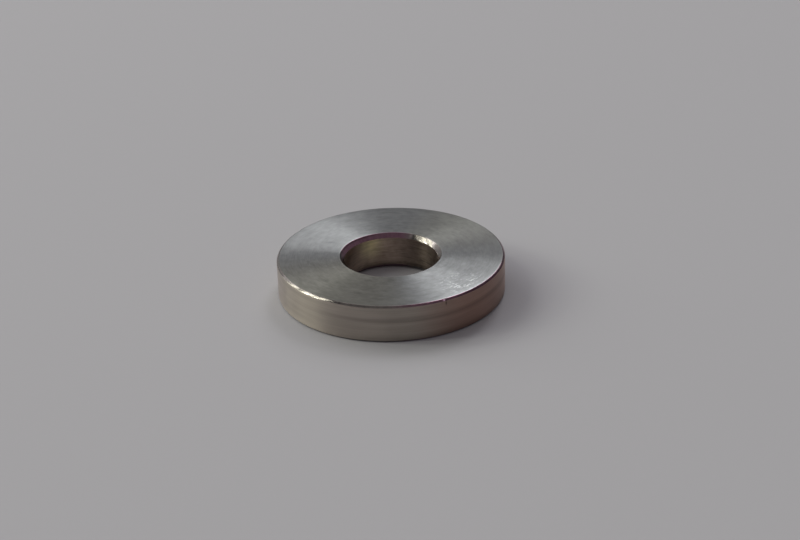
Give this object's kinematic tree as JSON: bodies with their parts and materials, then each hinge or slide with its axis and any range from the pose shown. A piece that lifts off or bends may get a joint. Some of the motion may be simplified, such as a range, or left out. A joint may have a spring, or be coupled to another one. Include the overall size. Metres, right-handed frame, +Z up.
{
  "type": "washer",
  "caption": "Thick flat turned washer with a plain through hole, faced ends and small chamfers at the rim and the hole.",
  "frame": {"origin": "centre of the lower face, on the axis of the hole", "axes": "+Z up along the axis of the hole; +X and +Y lie in the lower face, and the nick in the upper rim is at 297 degrees from +X towards +Y"},
  "size_m": [0.025, 0.025, 0.0042],
  "materials": {
    "turned_steel": "turned and faced, fine concentric marks"
  },
  "bodies": {
    "root": {"washer": "turned_steel"}
  },
  "joints": []
}
